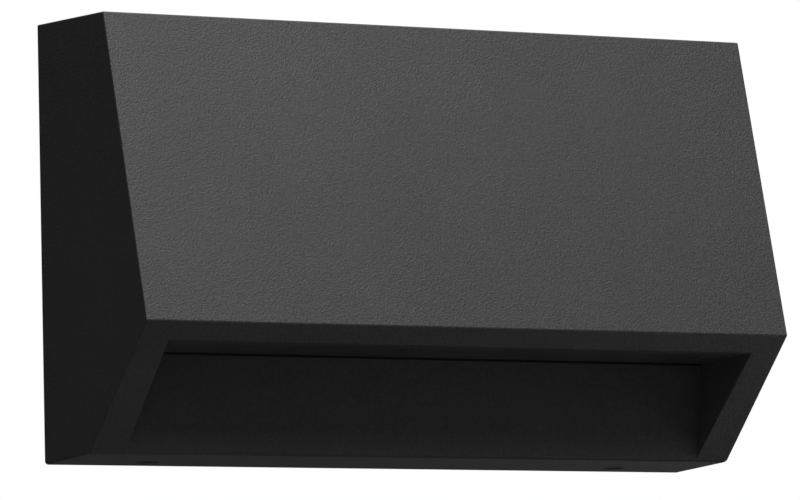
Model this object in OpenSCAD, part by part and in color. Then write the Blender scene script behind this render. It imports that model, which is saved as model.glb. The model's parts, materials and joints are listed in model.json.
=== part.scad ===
// Outdoor wall light: a wedge-shaped casting that throws its light down, on a plate fixed to the wall.
// Millimetres. +Z is up, the front faces -Y, and the wall is the plane Y = 0.
// The origin is the middle of the wall face, halfway between the two wall screws.

/* [Casting] */
// Width of the casting at the wall
body_w = 150; // [140:1:200]
// Height of the casting at the wall
body_h = 90.5; // [86:0.5:110]
// Distance from the wall to the crease between the two front faces
body_d = 47.5; // [46:0.5:60]
// Distance from the wall to the front edge of the top face
top_d = 30.5; // [30:0.5:36]
// Distance from the wall to the front edge of the bottom face
bottom_d = 20.8; // [19:0.2:24]
// Height of the crease above the bottom edge
crease_h = 25.4; // [24:0.2:32]
// Draft of the top and bottom faces, in degrees
draft_top = 2.2; // [0:0.1:3]
// Draft of the side faces, in degrees
draft_side = 0.8; // [0:0.1:2]
// Wall of the casting
wall = 3; // [2.6:0.1:4]

/* [Light recess] */
// Width of the rim above the recess, along the lower front face
rim_top = 5.1; // [4:0.1:7]
// Width of the rim at each end of the recess
rim_side = 6.7; // [6:0.1:9]
// Width of the rim below the recess, along the lower front face
rim_bottom = 0.9; // [0.6:0.1:2]
// Lean of the back panel away from the vertical, in degrees
panel_lean = 6.4; // [2:0.2:9]
// Slope of the ceiling towards the back panel, in degrees
ceiling_slope = 2.8; // [0:0.2:4]
// Draft of the recess's end walls, in degrees
draft_recess = 1.7; // [0:0.1:3]
// Wall of the recess
recess_wall = 2; // [1.6:0.1:2.6]

/* [Window and light source] */
// Casting left in the ceiling at each end of the window
window_end = 8.5; // [8.5:0.1:14]
// Painted ledge between the window and the rim
window_ledge = 3.4; // [3:0.1:4]
// Shadow gap between the window's face and the back panel
seam = 2.8; // [0.4:0.1:3.2]
// Depth of the shadow gap beyond the window's ends
seam_depth = 1.2; // [0.6:0.1:1.4]
// Flange of the window that lies on the ledge
window_flange = 2; // [1.5:0.1:2.2]
// Thickness of the window's flange
flange_t = 1.6; // [1.2:0.1:2]
// Thickness of the window's gasket
gasket_t = 1; // [0.6:0.1:1.4]
// Inside height of the light source's chamber
chamber_h = 7; // [6:0.2:8]
// Top plate of the carrier
carrier_t = 3; // [2.5:0.1:4]
// Rim wall of the carrier
carrier_wall = 2; // [1.6:0.1:2.4]
// Thickness of the circuit board
board_t = 1.6; // [1:0.1:1.8]
// Room left between each end of the circuit board and the carrier
board_end = 8.5; // [8:0.1:12]
// Clearance between the circuit board and the carrier's rim walls
board_side = 0.8; // [0.5:0.1:1]
// Number of light-emitting diodes
led_count = 12; // [8:1:13]
// Distance of the first and last diode from the board's ends
led_margin = 6; // [5.5:0.1:8]

/* [Driver and terminals] */
// Length of the driver's case
driver_l = 60; // [54:1:66]
// Height of the driver's case
driver_h = 33; // [28:0.5:34]
// Thickness of the driver's case
driver_t = 20; // [16:0.5:20.5]
// Wall of the driver's case
driver_wall = 1.6; // [1.2:0.1:2]
// Ear at each end of the driver
driver_ear = 7; // [6.6:0.1:8]
// Room between the driver's ear and the casting's end wall
driver_side = 5; // [4.5:0.1:7]
// Room between the driver and the casting's top wall
driver_top = 5.6; // [5:0.1:7]
// Depth of the bay between the wall plate and the pillars
bay_d = 24; // [23.5:0.1:25]
// Number of poles in the terminal block
pole_count = 3; // [2:1:3]
// Distance between the poles
pole_pitch = 10; // [9.6:0.2:10.4]
// Height of the terminal block
pole_h = 16; // [15:0.5:18]
// Depth of the terminal block's towers
pole_d = 15; // [14:0.5:16]
// Diameter of the mains conductors' insulation
wire_d = 2.2; // [1.8:0.1:2.4]
// Diameter of the light source's conductors
led_wire_d = 1.4; // [1:0.1:1.4]
// Distance of the earth screw from the casting's end wall
earth_side = 7; // [6:0.1:8]
// Distance of the earth screw below the middle of the terminals
earth_drop = 16; // [15:0.1:20]

/* [Wall plate] */
// Thickness of the wall gasket
wall_gasket_t = 1; // [0.8:0.1:1.5]
// Thickness of the wall plate
plate_t = 1.5; // [1.2:0.1:2]
// Clearance between the wall plate and the casting
plate_gap = 0.6; // [0.4:0.1:1]
// Reach of the plate's top flange
flange_reach = 7.5; // [6:0.5:9]
// Distance between the two wall screws
wall_hole_pitch = 100; // [90:1:104]
// Diameter of the wall screw holes
wall_hole_d = 5.2; // [4.6:0.1:6]
// Diameter of the cable entry's bore
cable_d = 7; // [6:0.2:8]
// Diameter of the locking screws
grub_d = 4; // [3.6:0.1:5]
// Distance of each locking screw from the casting's end
grub_inset = 20; // [18:0.5:26]

/* [Hidden] */
$fn = 48;
// Running clearance between a screw and its hole
fit = 0.05;
// Clearance between parts that are laid in place
lay = 0.1;
// Length by which a cutter runs past the face it cuts
past = 2;

// Outline of the casting's side, as [distance from the wall, height]
top_z = body_h/2;
bottom_z = -body_h/2;
crease = [body_d, bottom_z + crease_h];
toe = [bottom_d, bottom_z + bottom_d*tan(draft_top)];
brow = [top_d, top_z - top_d*tan(draft_top)];
outline = [[0, bottom_z], toe, crease, brow, [0, top_z]];

// Recess in the lower front face: its three corners in the same plane
down = (toe - crease)/norm(toe - crease);
rim_edge = crease + rim_top*down;
panel_foot = toe - rim_bottom*down;
panel_dir = [sin(panel_lean), cos(panel_lean)];
ceiling_dir = [cos(ceiling_slope), sin(ceiling_slope)];
panel_head = meet(panel_foot, panel_dir, rim_edge, ceiling_dir);
ceiling_l = norm(rim_edge - panel_head);
recess = [panel_foot, rim_edge, panel_head];
recess_half = body_w/2 - crease[0]*tan(draft_side) - rim_side;
ceiling_half = recess_half - (rim_edge[0] - panel_head[0])*tan(draft_recess);
window_w = 2*(ceiling_half - window_end);

// Light source, in the ceiling's own frame: Y = 0 at the panel, Z = 0 at the ceiling's face
window_front = -(ceiling_l - window_ledge);
flange_z = recess_wall + flange_t;
carrier_z = flange_z + gasket_t;
board_z = carrier_z + chamber_h - board_t;
carrier_top = carrier_z + chamber_h + carrier_t;
carrier_half = window_w/2 + window_flange;
carrier_back = -1.4;
carrier_front = window_front - 0.4;
ear_z = carrier_z + 4;
ear_t = 2;
ear_hole_x = carrier_half + 4;
ear_half = ear_hole_x + 3.1;
carrier_screw_l = 7;
ear_holes_y = [carrier_back - 3.6, carrier_front + 3.6];
boss_r = 2.8;
m3_r = 1.5;
m3_head_r = 2.75;
m3_head_h = 1.8;
pan_head_h = 2.4;
m2_r = 1;
m2_head_r = 1.9;
m2_head_h = 1.3;
board_l = window_w - 2*board_end;
board_w = carrier_back - carrier_front - 2*carrier_wall - 2*board_side;
board_y = (carrier_back + carrier_front)/2;
led_pitch = (board_l - 2*led_margin)/(led_count - 1);
board_screw_step = 4;
board_screw_xs = [for (i = [-1:1]) (i*board_screw_step + (led_count%2)/2)*led_pitch];
led_size = [3.5, 2.8, 0.8];
gland_x = -(board_l/2 + carrier_half - carrier_wall)/2;
gland_neck_r = 2.2;
gland_head_r = 3.2;
gland_head_t = 1.2;
led_wire_gap = 2.4;

// Driver and terminals stand on pillars of the front wall, their backs in one plane
pillar_d = wall_gasket_t + plate_t + bay_d;
driver_x = -(body_w/2 - wall - driver_side - driver_ear - driver_l/2);
driver_z = top_z - wall - driver_top - driver_h/2;
driver_ear_t = 2;
driver_hole_x = driver_l/2 + driver_ear/2;
lead_z = 4;
lead_d = pillar_d - driver_t/2 - 1;
terminal_z = driver_z;
terminal_base_t = 2.5;
terminal_base_h = 12;
terminal_half = pole_count*pole_pitch/2;
terminal_ear = 7;
terminal_hole_x = terminal_half + terminal_ear/2;
terminal_side = 1.2;
terminal_rib = 7;
tower_w = pole_pitch - 1.2;
insert_w = 5.4;
insert_h = pole_h - 3;
insert_d = pillar_d - terminal_base_t - 5;
insert_bore_r = wire_d/2 + 0.5;
clamp_r = 1.2;
clamp_head_r = 1.9;
clamp_head_h = 1.6;
clamp_pitch = 7;
barrel_r = wire_d/2 + 0.7;
earth_x = body_w/2 - wall - earth_side;
terminal_x = earth_x - barrel_r - terminal_side - terminal_half - terminal_ear;
function pole_x(i) = terminal_x + (i - (pole_count - 1)/2)*pole_pitch;

// Earth connection on its own pillar
earth_z = terminal_z - earth_drop;
earth_d = pillar_d - 2.5;
earth_pillar_r = 4;
m4_r = 2;
m4_head_r = 3.6;
washer_r = 4.3;
washer_t = 0.8;
lug_t = 0.8;
lug_ring_r = 4;
lug_barrel_z = 8;
lug_barrel_l = 6;

// Wall plate
plate_front = wall_gasket_t + plate_t;
plate_half = body_w/2 - wall - plate_gap;
plate_bottom = bottom_z + wall + plate_gap;
flange_tip = plate_front + flange_reach;
plate_top = top_z - wall - flange_tip*tan(draft_top) - lay;
flange_inset = 10;
tab_w = 14;
tab_reach = 8.5;
grub_x = body_w/2 - grub_inset;
grub_y = plate_front + 4;
grub_boss_r = grub_d/2 + 2;
grub_boss_h = 2.6;
grub_top = bottom_z + wall + grub_boss_h + 1.4;
grub_recess = 0.9;
tab_z = grub_top + lay;
cable_x = 28;
cable_z = -9;
grommet_neck_r = cable_d/2 + 2.5;
grommet_head_r = grommet_neck_r + 2;
grommet_head_t = 2;
groove_in = 0.9;
groove_w = 1.2;

function meet(p, u, q, v) = p + u*(cross(q - p, v)/cross(u, v));
function unit(v) = v/norm(v);
function inward(a, b) = let (u = unit(b - a)) [-u[1], u[0]];
// Moves each edge of a counter-clockwise outline inwards by its own amount
function inset(points, amounts) = let (n = len(points)) [for (i = [0:n - 1])
    let (a = points[(i + n - 1)%n], b = points[i], c = points[(i + 1)%n], k = (i + n - 1)%n)
    meet(b + inward(a, b)*amounts[k], unit(b - a), b + inward(b, c)*amounts[i], unit(c - b))];

// A solid with a side outline, across the whole width given
module across(points, width) {
    rotate([90, 0, -90])
        linear_extrude(height = width, center = true) polygon(points);
}

// A solid with a plan that tapers by the draft, from half_back at the wall to the depth given
module tapered(half_back, draft, depth) {
    half_front = half_back - depth*tan(draft);
    linear_extrude(height = 3*body_h, center = true)
        polygon([[-half_back, 0], [-half_front, -depth], [half_front, -depth], [half_back, 0]]);
}

module envelope() {
    intersection() {
        across(outline, 2*body_w);
        tapered(body_w/2, draft_side, 2*body_d);
    }
}

module cavity() {
    intersection() {
        across(inset(outline, [wall, wall, wall, wall, -past]), 2*body_w);
        translate([0, past, 0])
            tapered(body_w/2 - wall + past*tan(draft_side), draft_side, 2*body_d);
    }
}

// The recess, or with grow its outer walls. The end walls open towards the front.
module recess_block(grow) {
    grown = inset(recess, [-past, -grow, -grow]);
    half = recess_half + grow;
    back_half = half - rim_edge[0]*tan(draft_recess);
    intersection() {
        across(grown, 2*body_w);
        tapered(back_half, -draft_recess, 2*body_d);
    }
}

module in_ceiling() {
    translate([0, -panel_head[0], panel_head[1]]) rotate([-ceiling_slope, 0, 0]) children();
}

// A block between two corners, in whatever frame it stands
module block(low, high) {
    translate(low) cube(high - low);
}

module both_sides(x) {
    for (side = [-1, 1]) translate([side*x, 0, 0]) children();
}

// A cylinder along Y from one distance from the wall to another
module post(x, z, from_d, to_d, r) {
    translate([x, -from_d, z]) rotate([90, 0, 0]) cylinder(h = to_d - from_d, r = r);
}

// A pan-head screw along -Z: its head's underside is at Z = 0, its shank goes down
module screw(shank_r, shank_l, head_r, head_h) {
    difference() {
        union() {
            translate([0, 0, -shank_l]) cylinder(h = shank_l, r = shank_r);
            cylinder(h = head_h, r = head_r);
        }
        cross_slot(head_r, head_h);
    }
}

module cross_slot(head_r, head_h) {
    for (turn = [0, 90]) rotate([0, 0, turn])
        translate([-head_r*0.6, -head_r*0.13, head_h*0.45]) cube([head_r*1.2, head_r*0.26, head_h]);
}

// A screw along Y whose head faces the wall
module wall_side_screw(x, z, head_d, shank_r, shank_l, head_r, head_h) {
    translate([x, -head_d, z]) rotate([-90, 0, 0]) screw(shank_r, shank_l, head_r, head_h);
}

driver_holes = [[driver_x - driver_hole_x, driver_z], [driver_x + driver_hole_x, driver_z]];
terminal_holes = [[terminal_x - terminal_hole_x, terminal_z], [terminal_x + terminal_hole_x, terminal_z]];
pillar_screw_l = 8;
pillar_r = 3.2;

// Pillars that rise from the inside of the front wall
module pillars() {
    intersection() {
        across(inset(outline, [1, 1, 1, 1, 0]), body_w - 2);
        union() {
            for (p = concat(driver_holes, terminal_holes)) post(p[0], p[1], pillar_d, body_d, pillar_r);
            post(earth_x, earth_z, earth_d, body_d, earth_pillar_r);
        }
    }
}

module carrier_bosses() {
    in_ceiling() both_sides(ear_hole_x) for (y = ear_holes_y)
        translate([0, y, recess_wall/2]) cylinder(h = ear_z - recess_wall/2, r = boss_r);
}

module housing() {
    seat_half = carrier_half + lay;
    hole_half = window_w/2 + lay;
    color("#2b2c2e") difference() {
        union() {
            difference() {
                envelope();
                cavity();
            }
            intersection() {
                envelope();
                recess_block(recess_wall);
            }
            carrier_bosses();
            pillars();
            both_sides(grub_x) translate([0, -grub_y, bottom_z + wall/2])
                cylinder(h = wall/2 + grub_boss_h, r = grub_boss_r);
        }
        recess_block(0);
        in_ceiling() {
            block([-hole_half, window_front - lay, -past], [hole_half, 0, recess_wall + past]);
            block([-ceiling_half, -seam, -past], [ceiling_half, 0, seam_depth]);
            block([-seat_half, window_front - window_flange - lay, recess_wall],
                [seat_half, 0, carrier_z]);
            both_sides(ear_hole_x) for (y = ear_holes_y)
                translate([0, y, recess_wall]) cylinder(h = ear_z, r = m3_r + fit);
        }
        for (p = concat(driver_holes, terminal_holes))
            post(p[0], p[1], pillar_d - past, pillar_d + pillar_screw_l, m3_r + fit);
        post(earth_x, earth_z, earth_d - past, earth_d + pillar_screw_l, m4_r + fit);
        both_sides(grub_x) translate([0, -grub_y, bottom_z - past])
            cylinder(h = wall + grub_boss_h + 2*past, r = grub_d/2 + fit);
        rim_ring(groove_in - fit, groove_w + 2*fit, past);
    }
}

// A ring round the casting's back edge, 1 mm deep from the wall face
module rim_ring(inset_by, width, extra) {
    outer = [body_w/2 - inset_by, body_h/2 - inset_by];
    inner = outer - [width, width];
    difference() {
        block([-outer[0], -wall_gasket_t, -outer[1]], [outer[0], extra, outer[1]]);
        block([-inner[0], -wall_gasket_t - past, -inner[1]], [inner[0], extra + past, inner[1]]);
    }
}

module rim_seal() {
    color("#1c1c1c") rim_ring(groove_in, groove_w, 0);
}

// A locking screw in the casting's floor, whose tip bears on the plate's tab
module grub_screw(side) {
    socket_r = grub_d*0.29;
    color("#3a3b3d") translate([side*grub_x, -grub_y, bottom_z + grub_recess]) difference() {
        cylinder(h = grub_top - bottom_z - grub_recess, r = grub_d/2);
        translate([0, 0, -past]) cylinder(h = past + grub_d*0.6, r = socket_r, $fn = 6);
    }
}

module grub_screw_left() {
    grub_screw(-1);
}

module grub_screw_right() {
    grub_screw(1);
}

module light_window() {
    color("#3b3e42") in_ceiling() {
        block([-window_w/2, window_front, 0], [window_w/2, -seam, recess_wall]);
        block([-carrier_half, window_front - window_flange, recess_wall], [carrier_half, -lay, flange_z]);
    }
}

// A rectangular ring with the carrier's footprint
module carrier_ring(low_z, high_z) {
    inside = carrier_half - carrier_wall;
    difference() {
        block([-carrier_half, carrier_front, low_z], [carrier_half, carrier_back, high_z]);
        block([-inside, carrier_front + carrier_wall, low_z - past],
            [inside, carrier_back - carrier_wall, high_z + past]);
    }
}

module window_gasket() {
    color("#b9bcbc") in_ceiling() carrier_ring(flange_z, carrier_z);
}

module led_carrier() {
    color("#b4b7ba") in_ceiling() difference() {
        union() {
            carrier_ring(carrier_z, carrier_top);
            block([-carrier_half, carrier_front, carrier_top - carrier_t],
                [carrier_half, carrier_back, carrier_top]);
            for (side = [0, 1]) mirror([side, 0, 0])
                block([carrier_half - fit, carrier_front, ear_z], [ear_half, carrier_back, ear_z + ear_t]);
        }
        both_sides(ear_hole_x) for (y = ear_holes_y)
            translate([0, y, ear_z - past]) cylinder(h = ear_t + 2*past, r = m3_r + 2*lay);
        for (x = board_screw_xs) translate([x, board_y, carrier_z])
            cylinder(h = carrier_top, r = m2_r + fit);
        translate([gland_x, board_y, carrier_z]) cylinder(h = carrier_top, r = gland_neck_r + fit);
    }
}

module carrier_screws() {
    color("#8d9094") in_ceiling() both_sides(ear_hole_x) for (y = ear_holes_y)
        translate([0, y, ear_z + ear_t]) screw(m3_r, carrier_screw_l, m3_head_r, m3_head_h);
}

module led_board() {
    color("#eceeea") in_ceiling() difference() {
        block([-board_l/2, board_y - board_w/2, board_z],
            [board_l/2, board_y + board_w/2, board_z + board_t]);
        for (x = board_screw_xs) translate([x, board_y, board_z - past])
            cylinder(h = board_t + 2*past, r = m2_r + lay);
    }
}

module led_chips() {
    color("#f2d95c") in_ceiling() translate([0, board_y, board_z - led_size[2]]) for (i = [0:led_count - 1])
        translate([(i - (led_count - 1)/2)*led_pitch - led_size[0]/2, -led_size[1]/2, 0]) cube(led_size);
}

module board_screws() {
    color("#8d9094") in_ceiling() for (x = board_screw_xs)
        translate([x, board_y, board_z]) mirror([0, 0, 1])
            screw(m2_r, board_t + carrier_t - 0.5, m2_head_r, m2_head_h);
}

module wire_gland() {
    color("#262626") in_ceiling() translate([gland_x, board_y, 0]) difference() {
        union() {
            translate([0, 0, carrier_top - carrier_t]) cylinder(h = carrier_t, r = gland_neck_r);
            translate([0, 0, carrier_top]) cylinder(h = gland_head_t, r = gland_head_r);
        }
        for (side = [-0.5, 0.5]) translate([0, side*led_wire_gap, carrier_z])
            cylinder(h = carrier_top, r = led_wire_d/2 + fit);
    }
}

module driver_case() {
    back = pillar_d - driver_t;
    inside = [driver_l/2 - driver_wall, driver_h/2 - driver_wall];
    color("#e4e4e0") difference() {
        translate([driver_x, 0, driver_z]) union() {
            block([-driver_l/2, -pillar_d, -driver_h/2], [driver_l/2, -back, driver_h/2]);
            block([-driver_l/2 - driver_ear, -pillar_d, -pillar_r], [driver_l/2 + driver_ear,
                -pillar_d + driver_ear_t, pillar_r]);
        }
        translate([driver_x, 0, driver_z])
            block([-inside[0], -pillar_d + driver_wall, -inside[1]], [inside[0], past, inside[1]]);
        for (p = driver_holes) post(p[0], p[1], back, pillar_d + past, m3_r + 2*lay);
        for (side = [-1, 1]) translate([driver_x, -lead_d, driver_z + side*lead_z]) rotate([0, 90, 0])
            cylinder(h = driver_l, r = wire_d/2 + fit);
        for (side = [-1, 1]) translate([driver_x, -lead_d, driver_z + side*lead_z]) rotate([0, -90, 0])
            cylinder(h = driver_l, r = led_wire_d/2 + fit);
    }
}

module driver_potting() {
    gap = driver_wall + fit;
    back = pillar_d - driver_t + 1;
    color("#3f4144") translate([driver_x, 0, driver_z])
        block([-driver_l/2 + gap, -pillar_d + gap, -driver_h/2 + gap],
            [driver_l/2 - gap, -back, driver_h/2 - gap]);
}

module driver_screws() {
    color("#8d9094") for (p = driver_holes)
        wall_side_screw(p[0], p[1], pillar_d - driver_ear_t, m3_r, driver_ear_t + pillar_screw_l - 1,
            m3_head_r, m3_head_h);
}

module each_pole() {
    for (i = [0:pole_count - 1]) translate([pole_x(i), 0, terminal_z]) children();
}

module terminal_block() {
    front = pillar_d - terminal_base_t;
    back = front - pole_d;
    pocket = insert_w/2 + fit;
    color("#d9dad6") difference() {
        union() {
            translate([terminal_x, 0, terminal_z])
                block([-terminal_half - terminal_ear, -pillar_d, -terminal_base_h/2],
                    [terminal_half + terminal_ear, -front, terminal_base_h/2]);
            each_pole() block([-tower_w/2, -front - fit, -pole_h/2], [tower_w/2, -back, pole_h/2]);
            translate([terminal_x, 0, terminal_z])
                block([-terminal_half + 1, -front - fit, -pole_h/4],
                    [terminal_half - 1, -front + terminal_rib, pole_h/4]);
        }
        for (p = terminal_holes) post(p[0], p[1], back, pillar_d + past, m3_r + 2*lay);
        each_pole() {
            block([-pocket, -insert_d - pocket, -insert_h/2 - fit],
                [pocket, -insert_d + pocket, insert_h/2 + fit]);
            translate([0, -insert_d, -pole_h]) cylinder(h = 2*pole_h, r = insert_bore_r);
            for (side = [-0.5, 0.5]) post(0, side*clamp_pitch, back - past, insert_d, clamp_head_r + lay);
        }
    }
}

module terminal_inserts() {
    color("#c9a653") each_pole() difference() {
        block([-insert_w/2, -insert_d - insert_w/2, -insert_h/2],
            [insert_w/2, -insert_d + insert_w/2, insert_h/2]);
        translate([0, -insert_d, -pole_h]) cylinder(h = 2*pole_h, r = insert_bore_r);
        for (side = [-0.5, 0.5]) post(0, side*clamp_pitch, insert_d - insert_w, insert_d, clamp_r + fit);
    }
}

module clamp_screws() {
    head_d = insert_d - insert_w/2 - 1;
    color("#9a9da0") each_pole() for (side = [-0.5, 0.5])
        wall_side_screw(0, side*clamp_pitch, head_d, clamp_r, insert_d - head_d - wire_d/2 - fit,
            clamp_head_r, clamp_head_h);
}

module terminal_screws() {
    color("#8d9094") for (p = terminal_holes)
        wall_side_screw(p[0], p[1], pillar_d - terminal_base_t, m3_r,
            terminal_base_t + pillar_screw_l - 1, m3_head_r, m3_head_h);
}

module earth_lug() {
    barrel_d = earth_d - lug_t/2;
    color("#c4c7c9") difference() {
        union() {
            post(earth_x, earth_z, earth_d - lug_t, earth_d, lug_ring_r);
            translate([earth_x, 0, earth_z])
                block([-wire_d/2 - 0.6, -earth_d, 0], [wire_d/2 + 0.6, -earth_d + lug_t, lug_barrel_z + 1]);
            translate([earth_x, -barrel_d, earth_z + lug_barrel_z])
                cylinder(h = lug_barrel_l, r = barrel_r);
        }
        post(earth_x, earth_z, earth_d - 2*past, earth_d + past, m4_r + lay);
        translate([earth_x, -barrel_d, earth_z + lug_barrel_z + 1])
            cylinder(h = lug_barrel_l, r = wire_d/2 + fit);
    }
}

module earth_washer() {
    d = earth_d - lug_t;
    color("#aeb1b3") difference() {
        post(earth_x, earth_z, d - washer_t, d, washer_r);
        post(earth_x, earth_z, d - washer_t - past, d + past, m4_r + lay);
    }
}

module earth_screw() {
    d = earth_d - lug_t - washer_t;
    color("#c8a24e") wall_side_screw(earth_x, earth_z, d, m4_r, lug_t + washer_t + pillar_screw_l - 1,
        m4_head_r, pan_head_h);
}

// Tubes that follow a smooth curve from one end and direction to another
function curve(a, b, c, d, n) = [for (i = [0:n]) let (t = i/n, s = 1 - t)
    a*s*s*s + 3*b*s*s*t + 3*c*s*t*t + d*t*t*t];
function tangent(points, i) = unit(points[min(i + 1, len(points) - 1)] - points[max(i - 1, 0)]);
function carried(points, first, i = 0) = let (t = tangent(points, i), n = unit(first - (first*t)*t))
    i == len(points) - 1 ? [n] : concat([n], carried(points, n, i + 1));

module tube(points, r, sides = 10) {
    last = len(points) - 1;
    normals = carried(points, [0.31, 0.52, 0.79]);
    rings = [for (i = [0:last]) let (n = normals[i], b = cross(tangent(points, i), n))
        for (j = [0:sides - 1]) points[i] + r*(cos(360*j/sides)*n + sin(360*j/sides)*b)];
    walls = [for (i = [0:last - 1], j = [0:sides - 1]) let (k = (j + 1)%sides, a = i*sides, b = a + sides)
        each [[a + j, b + j, b + k], [a + j, b + k, a + k]]];
    first_cap = [for (j = [0:sides - 1]) j];
    last_cap = [for (j = [sides - 1:-1:0]) last*sides + j];
    polyhedron(points = rings, faces = concat([first_cap], walls, [last_cap]));
}

// The upper of a driver's two leads goes to the far pole and passes over the lower one
wire_steps = 14;
lead_in = 3;
lead_start = driver_l/2 - driver_wall + lay;
tower_left = pole_x(0) - tower_w/2;
over_z = terminal_z + pole_h/2;
over_gap = 3.5;
over_step = 4;
earth_crest = 4;
led_loop = 3.4;
led_spread = 1.6;
led_drop = 1.5;
led_land = 2;

// A conductor from the driver's right end over the top of a terminal and down into it
module mains_wire(side, pole) {
    inside = [driver_x + lead_start, -lead_d, driver_z + side*lead_z];
    start = inside + [driver_wall, 0, 0];
    end = [pole_x(pole), -insert_d, over_z - lead_in];
    crest = [tower_left - wire_d, -(lead_d + insert_d)/2, over_z + over_gap + over_step*(side + 1)/2];
    reach = (crest[0] - start[0])*0.6;
    rise = curve(start, start + [reach, 0, 0], crest - [reach, 0, 0], crest, wire_steps);
    along = [(crest[0] + end[0])/2, crest[1], crest[2]];
    fall = curve(crest, along, [end[0], end[1], crest[2]], end, wire_steps);
    tube(concat([inside], rise, [for (i = [1:wire_steps]) fall[i]]), wire_d/2);
}

module live_wire() {
    color("#6b4226") mains_wire(-1, 0);
}

module neutral_wire() {
    color("#2f5fa8") mains_wire(1, min(1, pole_count - 1));
}

module earth_wire() {
    start = [pole_x(pole_count - 1), -insert_d, over_z - lead_in];
    end = [earth_x, -earth_d + lug_t/2, earth_z + lug_barrel_z + 1 + lay];
    mouth = end + [0, 0, lug_barrel_l];
    crest_z = over_z + over_gap + over_step + earth_crest;
    if (pole_count > 2) color("#7fae3a")
        tube(concat(curve(start, [start[0], start[1], crest_z], [mouth[0], mouth[1], crest_z], mouth,
            2*wire_steps), [end]), wire_d/2);
}

// A conductor from the driver's left end down through the gland to the end of the board
module led_wire(side) {
    inside = [driver_x - lead_start, -lead_d, driver_z + side*lead_z];
    start = inside - [driver_wall, 0, 0];
    tilt = [0, sin(ceiling_slope), cos(ceiling_slope)];
    lean = [0, cos(ceiling_slope), -sin(ceiling_slope)];
    corner = [0, -panel_head[0], panel_head[1]];
    hole = corner + [gland_x, 0, 0] + (board_y - side*led_wire_gap/2)*lean
        + (carrier_top + gland_head_t)*tilt;
    under = hole - (gland_head_t + carrier_t)*tilt;
    fall = board_t + led_wire_d/2 + lay;
    pad = under + [led_land - board_l/2 - gland_x, 0, 0] - fall*tilt;
    turn = [driver_x - driver_l/2 - led_loop - side*led_spread, -lead_d, driver_z - driver_h/2 - led_drop];
    bend = curve(start, start - [led_loop, 0, 0], turn + [0, 0, 3*led_loop], turn, wire_steps);
    half = (turn[2] - hole[2])/2;
    drop = curve(turn, turn - [0, 0, half], hole + half*tilt, hole, wire_steps);
    land = curve(under, under - fall*tilt, [(under[0] + pad[0])/2, pad[1], pad[2]], pad, 8);
    tube(concat([inside], bend, [for (i = [1:wire_steps]) drop[i]], land), led_wire_d/2, 8);
}

module led_positive_wire() {
    color("#b03030") led_wire(1);
}

module led_negative_wire() {
    color("#222222") led_wire(-1);
}

module wall_holes(from_d, to_d) {
    both_sides(wall_hole_pitch/2) post(0, 0, from_d, to_d, wall_hole_d/2);
}

module back_plate() {
    color("#a9adb0") difference() {
        union() {
            block([-plate_half, -plate_front, plate_bottom], [plate_half, -wall_gasket_t, plate_top]);
            block([-plate_half + flange_inset, -flange_tip, plate_top - plate_t],
                [plate_half - flange_inset, -wall_gasket_t, plate_top]);
            both_sides(grub_x) block([-tab_w/2, -plate_front - tab_reach, tab_z],
                [tab_w/2, -wall_gasket_t, tab_z + plate_t]);
        }
        wall_holes(-past, plate_front + past);
        post(cable_x, cable_z, -past, plate_front + past, grommet_neck_r + fit);
        both_sides(grub_x)
            block([-tab_w/2, -plate_front - fit, tab_z + plate_t],
                [tab_w/2, past, tab_z + plate_t + tab_reach]);
    }
}

module wall_gasket() {
    color("#303030") difference() {
        block([-plate_half, -wall_gasket_t, plate_bottom], [plate_half, 0, plate_top]);
        wall_holes(-past, plate_front);
        post(cable_x, cable_z, -past, plate_front, grommet_head_r + fit);
    }
}

module cable_grommet() {
    color("#202020") difference() {
        union() {
            post(cable_x, cable_z, 0, wall_gasket_t, grommet_head_r);
            post(cable_x, cable_z, 0, plate_front, grommet_neck_r);
            post(cable_x, cable_z, plate_front, plate_front + grommet_head_t, grommet_head_r);
        }
        post(cable_x, cable_z, -past, plate_front + grommet_head_t + past, cable_d/2);
    }
}

housing();
rim_seal();
grub_screw_left();
grub_screw_right();
light_window();
window_gasket();
led_carrier();
carrier_screws();
led_board();
led_chips();
board_screws();
wire_gland();
driver_case();
driver_potting();
driver_screws();
terminal_block();
terminal_inserts();
clamp_screws();
terminal_screws();
earth_lug();
earth_washer();
earth_screw();
live_wire();
neutral_wire();
earth_wire();
led_positive_wire();
led_negative_wire();
back_plate();
wall_gasket();
cable_grommet();
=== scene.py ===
"""Outdoor wall light: finishes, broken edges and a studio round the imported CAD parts.

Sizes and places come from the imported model, in metres, with the wall at Y = 0 and the front towards -Y.
"""

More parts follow.
